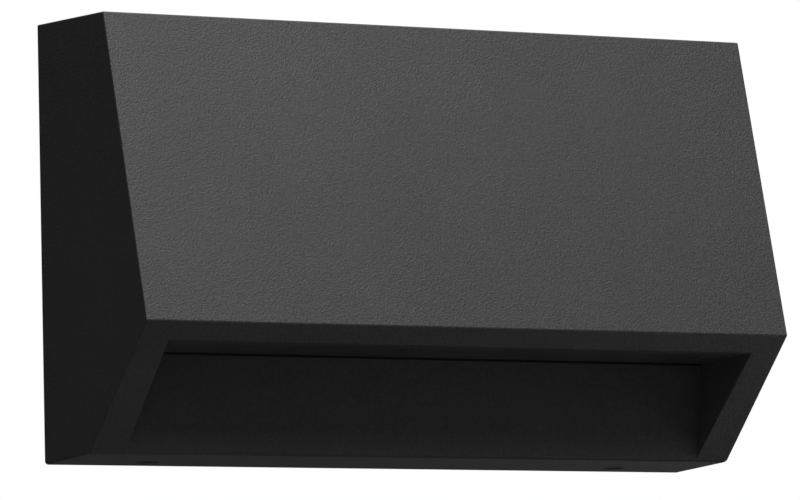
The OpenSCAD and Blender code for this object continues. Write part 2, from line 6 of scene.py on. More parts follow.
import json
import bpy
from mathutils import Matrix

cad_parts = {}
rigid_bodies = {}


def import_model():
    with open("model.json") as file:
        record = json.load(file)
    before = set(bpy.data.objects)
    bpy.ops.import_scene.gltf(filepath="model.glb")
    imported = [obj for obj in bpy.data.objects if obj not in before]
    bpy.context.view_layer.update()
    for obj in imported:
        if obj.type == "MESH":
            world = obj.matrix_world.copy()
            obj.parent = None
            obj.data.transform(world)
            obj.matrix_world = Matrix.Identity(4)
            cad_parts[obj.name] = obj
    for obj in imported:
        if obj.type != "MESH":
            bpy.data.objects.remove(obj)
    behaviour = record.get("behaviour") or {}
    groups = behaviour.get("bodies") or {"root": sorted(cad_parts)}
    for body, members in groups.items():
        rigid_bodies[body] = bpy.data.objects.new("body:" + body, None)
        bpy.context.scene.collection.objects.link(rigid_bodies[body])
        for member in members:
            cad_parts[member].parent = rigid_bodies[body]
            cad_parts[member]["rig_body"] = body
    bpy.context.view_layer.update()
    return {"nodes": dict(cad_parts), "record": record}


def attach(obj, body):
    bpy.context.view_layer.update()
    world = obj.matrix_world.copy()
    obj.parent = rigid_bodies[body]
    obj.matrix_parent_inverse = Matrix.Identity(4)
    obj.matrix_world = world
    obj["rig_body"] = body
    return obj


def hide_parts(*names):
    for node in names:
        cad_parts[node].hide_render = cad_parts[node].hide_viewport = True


bl_info = {
    "name": "Wall light dressing",
    "version": (1, 0, 0),
    "blender": (4, 5, 0),
    "location": "3D View > Sidebar > Wall Light",
    "description": "Breaks the edges of a wall light's parts, gives them their finishes and sets the studio up",
    "category": "Object",
}

from collections import namedtuple
from math import asin, atan2, cos, radians, sin

import bmesh
import bpy
from bpy.props import FloatProperty, FloatVectorProperty, PointerProperty
from mathutils import Matrix, Vector
from mathutils.bvhtree import BVHTree

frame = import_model()

FINISHED = ".finish"

MERGE = 1e-6  # vertices this close are one
FLAT = radians(0.25)  # faces that turn less than this are one
SHARP = radians(28)  # outer edges that turn more than this are broken
SMOOTH = radians(40)  # edges that turn less than this are shaded smooth
ON_PLANE = 2e-6  # an edge this close to a plane lies on it
SAME_PLANE = 0.9995  # cosine of the angle between faces of one plane
ALONG_AXIS = 0.9  # a normal with this much along an axis faces that way
CUT_SLACK = 1e-7  # vertices this close to a cut lie on it
RAY_START = 1e-5  # height over a face at which its rays start
RAY_GRAZE = -1e-4  # a ray along its own face still counts as leaving it
WAYS_OUT = ((0, -1, 0), (1, 0, 0), (-1, 0, 0), (0, 0, 1), (0, 0, -1), (0, -1, -1), (0, -1, 1))

BLACK = (0, 0, 0, 1)
WHITE = (1, 1, 1, 1)
SEEN_BY = ("Is Camera Ray", "Is Glossy Ray", "Is Transmission Ray")
FLOOR_FADE = (0.7, 1.9)  # distances at which the floor starts to fade and is gone
GLOW_TURN = radians(25)  # way to the surround's glow, from the back to the right
GLOW_SPAN = (1.2, 1.52)  # distances that way at which the glow starts and is full

# How much finer a metal's grain is along X, Y and Z
ROLLED = (1.0, 12.0, 12.0)
TURNED = (6.0, 6.0, 6.0)
DRAWN = (6.0, 6.0, 1.0)
STAMPED = (5.0, 5.0, 1.5)
BLACKENED = (5.0, 5.0, 5.0)

Plane = namedtuple("Plane", "normal reach")


# Settings


def colour(name, about, value):
    return FloatVectorProperty(name=name, description=about, default=value, subtype="COLOR", min=0, max=1)


def length(name, about, value):
    return FloatProperty(name=name, description=about, default=value, min=0, precision=5,
                         subtype="DISTANCE", unit="LENGTH")


def position(name, about, value):
    return FloatVectorProperty(name=name, description=about, default=value, subtype="TRANSLATION", unit="LENGTH")


def power(name, about, value):
    return FloatProperty(name=name, description=about, default=value, min=0, subtype="POWER", unit="POWER")


def share(name, about, value):
    return FloatProperty(name=name, description=about, default=value, min=0, max=1)


class CastingSettings(bpy.types.PropertyGroup):
    outer_edge: length("Outer edges", "Radius of the casting's outer edges", 0.0003)
    foot_edge: length("Foot's ends", "Radius between the foot and the casting's sides", 0.0007)
    mouth_edge: length("Recess edges", "Radius of the edges round the recess", 0.0002)
    hole_edge: length("Hole mouths", "Chamfer round the mouths of the locking screws' holes", 0.00055)
    coat: colour("Powder coat", "Anthracite of the powder coat", (0.046, 0.046, 0.046))
    coat_roughness: share("Coat roughness", "Roughness of the powder coat", 0.47)
    coat_grain: length("Coat grain", "Size of the powder coat's texture", 0.0004)
    coat_relief: length("Coat relief", "Depth of the powder coat's texture", 0.0001)
    bare: colour("Bare aluminium", "Aluminium as cast, inside the casting", (0.60, 0.61, 0.62))
    # Flat black painted as shade on the casting's faces in the joint behind the window, where the shadow gap falls
    bead: colour("Painted_shade", "Black bead in the joint behind the window", (0.011, 0.011, 0.011))


class PartSettings(bpy.types.PropertyGroup):
    moulded_edge: length("Moulded edges", "Radius of the driver's and the grommet's edges", 0.0003)
    cast_edge: length("Cast edges", "Radius of the edges of carrier, resin and terminal block", 0.0002)
    window_edge: length("Window edges", "Radius of the light window's edges", 0.00015)
    plate_edge: length("Plate edges", "Radius of the wall plate's edges", 0.00012)
    seal_edge: length("Seal edges", "Radius of the gaskets' and the seal's edges", 0.0001)
    cut_edge: length("Cut edges", "Radius of the edges of turned brass and locking screws", 0.00008)
    screw_edge: length("Screw edges", "Radius of the edges of screws and thin parts", 0.00006)
    fine_edge: length("Fine edges", "Radius of the edges of the smallest screws and the lug", 0.00005)
    window: colour("Window", "Smoked plastic of the light window", (0.042, 0.042, 0.043))
    zinc: colour("Zinc", "Bright zinc of plate and screws", (0.60, 0.61, 0.63))
    brass: colour("Brass", "Brass of the terminals", (0.72, 0.53, 0.22))
    tinned: colour("Tinned copper", "Tin over the earth lug's copper", (0.66, 0.65, 0.63))
    steel: colour("Black steel", "Blackened steel of the locking screws", (0.055, 0.055, 0.058))
    moulded: colour("Moulded plastic", "White plastic of driver and terminals", (0.72, 0.72, 0.69))
    package: colour("Diode package", "White plastic round the diodes", (0.8, 0.8, 0.78))
    phosphor: colour("Phosphor", "Yellow phosphor of the diodes", (0.83, 0.62, 0.12))
    silicone: colour("Silicone", "Grey silicone of the window's gasket", (0.33, 0.33, 0.34))
    rubber: colour("Rubber", "Black rubber of gland, grommet and seal", (0.022, 0.022, 0.022))
    foam: colour("Foam", "Black foam of the wall gasket", (0.05, 0.05, 0.051))
    live: colour("Live conductor", "Brown insulation", (0.16, 0.062, 0.025))
    neutral: colour("Neutral conductor", "Blue insulation", (0.03, 0.13, 0.42))
    earth: colour("Earth conductor", "Green of the earth insulation", (0.07, 0.30, 0.05))
    earth_stripe: colour("Earth stripe", "Yellow of the earth insulation", (0.75, 0.62, 0.05))
    positive: colour("Positive conductor", "Red insulation", (0.45, 0.02, 0.015))
    negative: colour("Negative conductor", "Black insulation", (0.02, 0.02, 0.02))


class StudioSettings(bpy.types.PropertyGroup):
    key_power: power("Key lamp", "Power of the large softbox", 9.0)
    key_size: length("Key size", "Side of the large softbox", 0.8)
    key_place: position("Key place", "Where the large softbox stands", (0.05, -0.65, 0.88))
    fill_power: power("Fill lamp", "Power of the weak softbox at the right", 0.2)
    fill_size: length("Fill size", "Side of the weak softbox", 0.3)
    fill_place: position("Fill place", "Where the weak softbox stands", (0.43, -0.06, -0.2))
    sky: share("Ambient level", "Level of the diffuse light all round", 0.19)
    flag_radius: length("Flag radius", "Radius of the black surround that only reflections see", 1.6)
    flag_top: length("Flag top", "Height of the black surround's edge", 1.3)
    flag_clearance: length("Flag clearance", "Height of the black surround's bottom over the floor", 0.01)
    flag_glow: colour("Flag glow", "Dim light of the black surround's back", (0.125, 0.125, 0.125))
    floor_side: length("Floor side", "Side of the square floor", 4.0)
    floor_drop: length("Floor", "Depth of the floor below the wall light's middle", 0.6)
    floor_colour: colour("Floor colour", "Pale grey of the floor", (0.80, 0.80, 0.80))
    floor_lift: colour("Floor lift", "Level added to the floor where it is seen and not lighting", (0.5, 0.5, 0.5))
    lens: FloatProperty(name="Lens", description="Focal length of the camera on a 36 mm frame", default=288.48,
                        min=10, subtype="DISTANCE_CAMERA", unit="CAMERA")


# Finishes


class Value:
    """An output in a node tree, so that sums on it read as plain arithmetic."""

    def __init__(self, nodes, socket):
        self.nodes = nodes
        self.socket = socket

    def __add__(self, other):
        return self.nodes.maths("ADD", self, other)

    def __radd__(self, other):
        return self.nodes.maths("ADD", other, self)

    def __sub__(self, other):
        return self.nodes.maths("SUBTRACT", self, other)

    def __rsub__(self, other):
        return self.nodes.maths("SUBTRACT", other, self)

    def __mul__(self, other):
        return self.nodes.maths("MULTIPLY", self, other)

    def __rmul__(self, other):
        return self.nodes.maths("MULTIPLY", other, self)


class Nodes:
    """The node tree of a finish or of the world. node() adds any node to it."""

    def __init__(self, tree):
        self.tree = tree

    def node(self, kind, settings=None, sockets=None, out=0):
        made = self.tree.nodes.new(kind)
        for name, value in (settings or {}).items():
            setattr(made, name, value)
        for name, value in (sockets or {}).items():
            if isinstance(value, Value):
                self.tree.links.new(value.socket, made.inputs[name])
            else:
                made.inputs[name].default_value = value
        return Value(self, made.outputs[out])

    def maths(self, operation, first, second):
        return self.node("ShaderNodeMath", {"operation": operation}, {0: first, 1: second})

    def seen(self):
        """1 where the camera, a reflection or glass sees the surface, and 0 where it only lights."""
        total, *others = [self.node("ShaderNodeLightPath", out=ray) for ray in SEEN_BY]
        for other in others:
            total = self.maths("MAXIMUM", total, other)
        return total


class Finish(Nodes):
    """A material with one Principled shader, which feed() joins to the other nodes."""

    def __init__(self, name, **fixed):
        self.material = bpy.data.materials.new(name + FINISHED)
        self.material.use_nodes = True
        super().__init__(self.material.node_tree)
        self.shader = self.tree.nodes["Principled BSDF"]
        for socket, value in fixed.items():
            self.shader.inputs[socket.replace("_", " ")].default_value = value
        self.place = self.node("ShaderNodeTexCoord", out="Object")

    def feed(self, socket, value):
        self.tree.links.new(value.socket, self.shader.inputs[socket])

    def stretched(self, scale):
        return self.node("ShaderNodeMapping", sockets={"Vector": self.place, "Scale": scale}, out="Vector")

    def vector(self, operation, *values):
        """A number from the operation on vectors."""
        return self.node("ShaderNodeVectorMath", {"operation": operation}, dict(enumerate(values)), out="Value")

    def noise(self, size, detail=2.0, place=None):
        """Noise in blotches of the size given, in metres."""
        sockets = {"Vector": place or self.place, "Scale": 1/size, "Detail": detail, "Roughness": 0.55}
        return self.node("ShaderNodeTexNoise", sockets=sockets)

    def cells(self, size):
        """Distance from the middles of cells of the size given, in metres."""
        return self.node("ShaderNodeTexVoronoi", sockets={"Vector": self.place, "Scale": 1/size}, out="Distance")

    def ramp(self, value, low, high):
        """0 below low, 1 above high and smooth between them."""
        return self.node("ShaderNodeMapRange", {"interpolation_type": "SMOOTHSTEP"},
                         {"Value": value, "From Min": low, "From Max": high})

    def mix(self, mask, first, second):
        """first where the mask is 0 and second where it is 1."""
        return self.node("ShaderNodeMix", {"data_type": "RGBA"}, {0: mask, 6: first, 7: second}, out=2)

    def shades(self, mask, paint, first, second):
        """A colour at its first level where the mask is 0 and at its second where it is 1."""
        return self.mix(mask, tint(paint, first), tint(paint, second))

    def relief(self, height, depth, strength, under=None):
        """A bump of the depth given, in metres, over another one."""
        sockets = {"Height": height, "Distance": depth, "Strength": strength}
        if under is not None:
            sockets["Normal"] = under
        return self.node("ShaderNodeBump", sockets=sockets)


def tint(paint, level=1.0):
    """A colour made lighter or darker, as a shader socket takes it."""
    return (*(min(1.0, c*level) for c in paint), 1.0)


def powder_coat(name, settings):
    """Fine-textured matt powder coat: a leathery grain with lighter and darker specks."""
    f = Finish(name, Specular_IOR_Level=0.5)
    grain = f.noise(settings.coat_grain, detail=3.0)
    speck = f.noise(settings.coat_grain*1.6)
    cloud = f.noise(0.022, detail=3.0)
    level = f.ramp(speck, 0.3, 0.7)*0.7 + f.ramp(cloud, 0.2, 0.8)*0.3
    f.feed("Base Color", f.shades(level, settings.coat, 0.8, 1.2))
    f.feed("Roughness", settings.coat_roughness - 0.06 + 0.12*grain)
    waves = f.relief(cloud, 0.0001, strength=0.3)
    f.feed("Normal", f.relief(grain, settings.coat_relief, strength=1.0, under=waves))
    return f.material


def cast_aluminium(name, paint):
    """Aluminium as it leaves the die: a soft mottle, flow marks and a fine skin."""
    f = Finish(name, Metallic=1.0)
    mottle = f.noise(0.006, detail=4.0)
    skin = f.noise(0.0004)
    flow = f.noise(0.003, detail=3.0, place=f.stretched((1.0, 1.0, 0.25)))
    f.feed("Base Color", f.shades(f.ramp(mottle + flow, 0.7, 1.3), paint, 0.82, 1.06))
    f.feed("Roughness", 0.34 + 0.16*mottle + 0.06*skin)
    f.feed("Normal", f.relief(skin, 0.00003, strength=0.5, under=f.relief(flow, 0.0001, strength=0.4)))
    return f.material


def drawn_metal(name, paint, roughness, grain):
    """Plated, rolled or turned metal: drawn lines and a faint cloudy bloom."""
    f = Finish(name, Metallic=1.0)
    lines = f.noise(0.002, detail=3.0, place=f.stretched(grain))
    bloom = f.noise(0.009, detail=3.0)
    shade = f.ramp(bloom, 0.3, 0.7)
    f.feed("Base Color", f.shades(shade, paint, 0.86, 1.05))
    f.feed("Roughness", roughness - 0.06 + 0.12*lines + 0.08*shade)
    f.feed("Normal", f.relief(lines, 0.00002, strength=0.5))
    return f.material


def moulded(name, paint, roughness=0.5, texture=0.00018):
    """Moulded plastic: a spark-eroded skin and a faint flow shade."""
    f = Finish(name, IOR=1.5)
    skin = f.noise(texture)
    flow = f.noise(0.012)
    f.feed("Base Color", f.shades(f.ramp(flow, 0.3, 0.7), paint, 0.94, 1.03))
    f.feed("Roughness", roughness - 0.05 + 0.1*skin)
    f.feed("Normal", f.relief(skin, 0.00001, strength=0.6))
    return f.material


def rubber(name, paint):
    """Moulded rubber with a dull bloom."""
    f = Finish(name, IOR=1.5, Specular_IOR_Level=0.35)
    bloom = f.noise(0.004, detail=3.0)
    skin = f.noise(0.0003)
    f.feed("Base Color", f.shades(f.ramp(bloom, 0.35, 0.75), paint, 0.85, 1.35))
    f.feed("Roughness", 0.66 + 0.12*bloom)
    f.feed("Normal", f.relief(skin, 0.00002, strength=0.5))
    return f.material


def foam(name, paint):
    """Closed-cell foam: small open pores in a matt skin."""
    f = Finish(name, Specular_IOR_Level=0.2)
    skin = f.ramp(f.cells(0.00045), 0.15, 0.5)
    f.feed("Base Color", f.shades(skin, paint, 0.5, 1.2))
    f.feed("Roughness", 0.95 - 0.12*skin)
    f.feed("Normal", f.relief(skin, 0.00008, strength=0.8))
    return f.material


def smoked_plastic(name, paint):
    """Smoked plastic with a satin back: dark, and even in its gloss."""
    f = Finish(name, IOR=1.49, Transmission_Weight=0.15)
    haze = f.noise(0.0003)
    flow = f.noise(0.02)
    f.feed("Base Color", f.shades(f.ramp(flow, 0.3, 0.7), paint, 0.9, 1.15))
    f.feed("Roughness", 0.34 + 0.1*haze)
    f.feed("Normal", f.relief(haze, 0.00001, strength=0.4))
    return f.material


def cast_resin(name):
    """Potting compound: dark, level and a little glossy, with fine bubbles."""
    f = Finish(name, IOR=1.52)
    level = f.ramp(f.cells(0.0022), 0.05, 0.16)
    wave = f.noise(0.009)
    f.feed("Base Color", f.mix(level, (0.07, 0.072, 0.076, 1), (0.03, 0.031, 0.034, 1)))
    f.feed("Roughness", 0.22 + 0.2*wave)
    f.feed("Normal", f.relief(level, 0.00006, strength=0.5, under=f.relief(wave, 0.0002, strength=0.4)))
    return f.material


def solder_mask(name):
    """White solder mask over copper: the tracks stand a little proud and show faintly."""
    f = Finish(name, IOR=1.5)
    lines = f.node("ShaderNodeTexWave", {"bands_direction": "Y", "wave_profile": "SIN"},
                   {"Vector": f.place, "Scale": 110.0, "Distortion": 0.6, "Detail": 0.0}, out=1)
    track = f.ramp(lines, 0.35, 0.45)
    skin = f.noise(0.0006)
    f.feed("Base Color", f.mix(track, (0.74, 0.75, 0.72, 1), (0.82, 0.83, 0.81, 1)))
    f.feed("Roughness", 0.32 + 0.1*skin)
    f.feed("Normal", f.relief(track, 0.00003, strength=0.6))
    return f.material


def insulation(name, paint):
    """Extruded insulation: satin, with a faint bloom and a fine skin."""
    f = Finish(name, IOR=1.5)
    bloom = f.noise(0.0035, detail=3.0)
    skin = f.noise(0.0002)
    f.feed("Base Color", f.shades(f.ramp(bloom, 0.3, 0.7), paint, 0.88, 1.1))
    f.feed("Roughness", 0.38 + 0.12*bloom)
    f.feed("Normal", f.relief(skin, 0.000008, strength=0.5))
    return f.material


def pale_paper(name, settings):
    """The floor: it lights as pale paper does, is seen nearly white, and is gone far off and from below."""
    f = Finish(name, Roughness=0.8, Specular_IOR_Level=0.2, Emission_Strength=1.0)
    f.feed("Base Color", f.shades(f.noise(0.05, detail=3.0), settings.floor_colour, 0.98, 1.0))
    far = f.ramp(f.vector("LENGTH", f.place), *FLOOR_FADE)
    f.feed("Alpha", (1.0 - f.node("ShaderNodeNewGeometry", out="Backfacing"))*(1.0 - far))
    f.feed("Emission Color", f.mix(f.seen(), BLACK, tint(settings.floor_lift)))
    return f.material


def black_card(name, settings):
    """The black surround, with a dim glow at the back that the casting's foot reflects."""
    f = Finish(name, Base_Color=(0.004, 0.004, 0.004, 1), Roughness=1.0, Specular_IOR_Level=0.0,
               Emission_Strength=1.0)
    way = (sin(GLOW_TURN), cos(GLOW_TURN), 0.0)
    glow = f.ramp(f.vector("DOT_PRODUCT", f.place, way), *GLOW_SPAN)
    f.feed("Emission Color", f.mix(glow, BLACK, tint(settings.flag_glow)))
    return f.material


def made_once(name, maker, *values):
    """A finish that several parts share, made the first time it is asked for."""
    return bpy.data.materials.get(name + FINISHED) or maker(name, *values)


def bare_aluminium():
    return made_once("bare_aluminium", cast_aluminium, bpy.context.scene.wall_light_casting.bare)


def zinc_screws(settings):
    return made_once("zinc_screws", drawn_metal, settings.zinc, 0.26, TURNED)


def turned_brass(settings):
    return made_once("brass", drawn_metal, settings.brass, 0.28, DRAWN)


def white_plastic(settings):
    return made_once("white_plastic", moulded, settings.moulded)


def black_rubber(settings):
    return made_once("black_rubber", rubber, settings.rubber)


# Shapes


def linked(name, data):
    """A new object in the scene, at the origin."""
    made = bpy.data.objects.new(name, data)
    bpy.context.scene.collection.objects.link(made)
    return made


def meshed(name, bm, *materials):
    """A mesh of the shape, which is used up, with its materials."""
    mesh = bpy.data.meshes.new(name)
    bm.to_mesh(mesh)
    bm.free()
    for material in materials:
        mesh.materials.append(material)
    return mesh


def joined(node):
    """A copy of a CAD part with its loose triangles joined."""
    bm = bmesh.new()
    bm.from_mesh(frame["nodes"][node].data)
    bmesh.ops.remove_doubles(bm, verts=bm.verts, dist=MERGE)
    return bm


def merged(node):
    """A copy of a CAD part with its loose triangles joined and its flat faces made whole."""
    bm = joined(node)
    bmesh.ops.dissolve_limit(bm, angle_limit=FLAT, verts=bm.verts, edges=bm.edges)
    return bm


def outer_edges(bm, wanted=lambda edge: True):
    return [e for e in bm.edges if e.is_manifold and e.calc_face_angle_signed() > SHARP and wanted(e)]


def break_edges(bm, edges, radius, segments=2):
    bmesh.ops.bevel(bm, geom=edges, offset=radius, offset_type="OFFSET", segments=segments, profile=0.5,
                    affect="EDGES", clamp_overlap=False, loop_slide=True, material=-1)


def number_faces(faces, slot):
    """Gives the faces the finish in that place of the piece's list."""
    for face in faces:
        face.material_index = slot


def order_faces(bm):
    """Puts the faces in the order of their corners, because some operators leave it to chance."""
    bm.verts.index_update()
    ranked = sorted(bm.faces, key=lambda f: sorted(v.index for v in f.verts))
    rank = {face: place for place, face in enumerate(ranked)}
    bm.faces.sort(key=lambda f: rank[f])


def dress(node, bm, *finishes, smooth=SMOOTH):
    """The finished piece of a CAD part: it stands for that part and rides with its body."""
    order_faces(bm)
    piece = linked(node + ".finished", meshed(node + ".finished", bm, *finishes))
    if "custom_normal" in piece.data.attributes:
        piece.data.attributes.remove(piece.data.attributes["custom_normal"])
    piece.data.polygons.foreach_set("use_smooth", [True]*len(piece.data.polygons))
    piece.data.set_sharp_from_angle(angle=smooth)
    weighted = piece.modifiers.new("Even faces", "WEIGHTED_NORMAL")
    weighted.keep_sharp = True
    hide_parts(node)
    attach(piece, frame["nodes"][node]["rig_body"])
    next(p["material_slot"] for p in frame["record"]["subparts"] if p["node"] == node)
    return piece


def broken(node, radius, finish):
    """Dresses a part whose outer edges are all broken alike."""
    bm = merged(node)
    break_edges(bm, outer_edges(bm), radius)
    number_faces(bm.faces, 0)
    dress(node, bm, finish)


def hull_planes(bm):
    """The flat faces of the shape's hull, the largest first."""
    shell = bmesh.new()
    for vert in bm.verts:
        shell.verts.new(vert.co)
    bmesh.ops.convex_hull(shell, input=shell.verts)
    planes = []
    for face in sorted(shell.faces, key=lambda f: -f.calc_area()):
        if all(face.normal.dot(p.normal) < SAME_PLANE for p in planes):
            planes.append(Plane(face.normal.copy(), face.normal.dot(face.calc_center_median())))
    shell.free()
    return planes


def on_plane(edge, plane):
    return all(abs(plane.normal.dot(v.co) - plane.reach) < ON_PLANE for v in edge.verts)


def seen_from_outside(bm, closed_by):
    """Faces with a free way out to the front, a side, the top or the bottom."""
    whole = bm.copy()
    for node in closed_by:
        whole.from_mesh(frame["nodes"][node].data)
    tree = BVHTree.FromBMesh(whole)
    whole.free()
    ways = [Vector(w).normalized() for w in WAYS_OUT]

    def seen(face):
        start = face.calc_center_median() + face.normal*RAY_START
        return any(w.dot(face.normal) > RAY_GRAZE and tree.ray_cast(start, w)[0] is None for w in ways)

    return [f for f in bm.faces if seen(f)]


# Pieces


class WALL_LIGHT_OT_casting(bpy.types.Operator):
    """Dress the casting: broken edges, powder coat outside and bare metal inside"""

    bl_idname = "wall_light.casting"
    bl_label = "Casting"

    FOOT_FACETS = 4
    # The joint behind the window, whose faces get flat black as painted shade, and how far below the window's face
    # that black reaches
    JOINT_WIDTH = 0.0035
    JOINT_DEPTH = 0.003
    JOINT_SHADE_DROP = 0.00008
    JOINT_SLACK = 0.0001

    def round_foot(self, bm, foot, side, radius):
        """Rounds the edge between the foot and a side with flat cuts that touch the radius."""
        whole = side.normal.angle(foot.normal)
        for cut in range(1, self.FOOT_FACETS + 1):
            turn = whole*cut/(self.FOOT_FACETS + 1)
            of_side, of_foot = sin(whole - turn)/sin(whole), sin(turn)/sin(whole)
            normal = side.normal*of_side + foot.normal*of_foot
            reach = (side.reach - radius)*of_side + (foot.reach - radius)*of_foot + radius
            bmesh.ops.bisect_plane(bm, geom=[*bm.verts, *bm.edges, *bm.faces], dist=CUT_SLACK,
                                   plane_co=normal*reach, plane_no=normal, clear_outer=True)
            open_edges = [e for e in bm.edges if e.is_boundary]
            for face in bmesh.ops.holes_fill(bm, edges=open_edges, sides=0)["faces"]:
                face.normal_update()
                if face.normal.dot(normal) < 0:
                    face.normal_flip()

    def joint(self, bm):
        """The casting's faces in the joint between window and panel, down to the edge of the flat black painted
        there as shade.
        """
        window = merged("light_window")
        face = max((f for f in window.faces if f.normal.z < -ALONG_AXIS), key=lambda f: f.calc_area())
        down, level = face.normal.copy(), face.normal.dot(face.verts[0].co)
        start, back = face.verts[0].co.copy(), max(v.co.y for v in face.verts)
        window.free()

        def inside(point):
            return (back - self.JOINT_SLACK < point.y < back + self.JOINT_WIDTH
                    and -self.JOINT_SHADE_DROP < level - down.dot(point) < self.JOINT_DEPTH)

        near = [f for f in bm.faces if any(inside(v.co) for v in f.verts)]
        around = dict.fromkeys([*near, *(e for f in near for e in f.edges), *(v for f in near for v in f.verts)])
        bmesh.ops.bisect_plane(bm, geom=list(around), dist=CUT_SLACK, plane_co=start + down*self.JOINT_SHADE_DROP,
                               plane_no=down)
        return [f for f in bm.faces if inside(f.calc_center_median())]

    def break_hull(self, bm, foot, settings):
        """Breaks the casting's outer edges, those of the holes in its foot and those round its recess."""
        planes = hull_planes(bm)
        low_front = min(planes, key=lambda p: p.normal.y + p.normal.z)

        def touching(edge):
            return sum(on_plane(edge, p) for p in planes)

        break_edges(bm, outer_edges(bm, lambda e: touching(e) >= 2), settings.outer_edge, 3)
        break_edges(bm, outer_edges(bm, lambda e: touching(e) == 1 and on_plane(e, foot)), settings.hole_edge, 1)
        break_edges(bm, outer_edges(bm, lambda e: on_plane(e, low_front)), settings.mouth_edge)
        # The corners that the breaking leaves proud of the foot go back onto it
        for vert in bm.verts:
            vert.co -= foot.normal*max(0.0, foot.normal.dot(vert.co) - foot.reach)

    def execute(self, context):
        settings = context.scene.wall_light_casting
        bm = merged("housing")
        planes = hull_planes(bm)
        foot = min(planes, key=lambda p: p.normal.z)
        for side in (p for p in planes if abs(p.normal.x) > ALONG_AXIS):
            self.round_foot(bm, foot, side, settings.foot_edge)
        self.break_hull(bm, foot, settings)
        coated = seen_from_outside(bm, ("light_window", "back_plate"))
        number_faces(bm.faces, 1)
        number_faces(coated, 0)
        # The joint's faces are painted black, as the shade that falls in the gap behind the window
        number_faces(self.joint(bm), 2)
        dress("housing", bm, made_once("powder_coat", powder_coat, settings), bare_aluminium(),
              made_once("joint_seal", rubber, settings.bead))
        return {"FINISHED"}


class WALL_LIGHT_OT_window(bpy.types.Operator):
    """Dress the light window and its gasket"""

    bl_idname = "wall_light.window"
    bl_label = "Light window"

    def execute(self, context):
        settings = context.scene.wall_light_parts
        smoked = made_once("smoked_window", smoked_plastic, settings.window)
        broken("light_window", settings.window_edge, smoked)
        broken("window_gasket", settings.seal_edge, made_once("grey_silicone", rubber, settings.silicone))
        return {"FINISHED"}


class WALL_LIGHT_OT_light_source(bpy.types.Operator):
    """Dress the carrier, the circuit board, its diodes and their screws"""

    bl_idname = "wall_light.light_source"
    bl_label = "Light source"

    LENS_AREA = 4e-6
    LENS_MARGIN = 0.00045
    LENS_WALL = 0.0001
    LENS_DEPTH = 0.00012

    def diodes(self, settings):
        """The diodes' packages, with a sunk lens in the face that lights."""
        bm = merged("led_chips")
        break_edges(bm, outer_edges(bm), settings.screw_edge)
        lenses = [f for f in bm.faces if f.normal.z < -ALONG_AXIS and f.calc_area() > self.LENS_AREA]
        number_faces(bm.faces, 0)
        bmesh.ops.inset_individual(bm, faces=lenses, thickness=self.LENS_MARGIN, depth=0.0)
        bmesh.ops.inset_individual(bm, faces=lenses, thickness=self.LENS_WALL, depth=-self.LENS_DEPTH)
        number_faces(lenses, 1)
        dress("led_chips", bm, made_once("diode_package", moulded, settings.package, 0.4, 0.0001),
              made_once("phosphor", moulded, settings.phosphor, 0.3, 0.00015))

    def execute(self, context):
        settings = context.scene.wall_light_parts
        broken("led_carrier", settings.cast_edge, bare_aluminium())
        broken("led_board", settings.screw_edge, made_once("white_mask", solder_mask))
        broken("carrier_screws", settings.screw_edge, zinc_screws(settings))
        broken("board_screws", settings.fine_edge, zinc_screws(settings))
        self.diodes(settings)
        return {"FINISHED"}


class WALL_LIGHT_OT_driver(bpy.types.Operator):
    """Dress the driver's case, its resin and its screws"""

    bl_idname = "wall_light.driver"
    bl_label = "Driver"

    def execute(self, context):
        settings = context.scene.wall_light_parts
        broken("driver_case", settings.moulded_edge, white_plastic(settings))
        broken("driver_potting", settings.cast_edge, made_once("potting", cast_resin))
        broken("driver_screws", settings.screw_edge, zinc_screws(settings))
        return {"FINISHED"}


class WALL_LIGHT_OT_terminals(bpy.types.Operator):
    """Dress the terminal block, its inserts and its screws"""

    bl_idname = "wall_light.terminals"
    bl_label = "Terminals"

    def execute(self, context):
        settings = context.scene.wall_light_parts
        broken("terminal_block", settings.cast_edge, white_plastic(settings))
        broken("terminal_inserts", settings.cut_edge, turned_brass(settings))
        broken("clamp_screws", settings.fine_edge, zinc_screws(settings))
        broken("terminal_screws", settings.screw_edge, zinc_screws(settings))
        return {"FINISHED"}


class WALL_LIGHT_OT_earth(bpy.types.Operator):
    """Dress the earth lug, its washer and its screw"""

    bl_idname = "wall_light.earth"
    bl_label = "Earth connection"

    def execute(self, context):
        settings = context.scene.wall_light_parts
        tinned = made_once("tinned_copper", drawn_metal, settings.tinned, 0.24, STAMPED)
        broken("earth_lug", settings.fine_edge, tinned)
        broken("earth_washer", settings.screw_edge, zinc_screws(settings))
        broken("earth_screw", settings.cut_edge, turned_brass(settings))
        return {"FINISHED"}


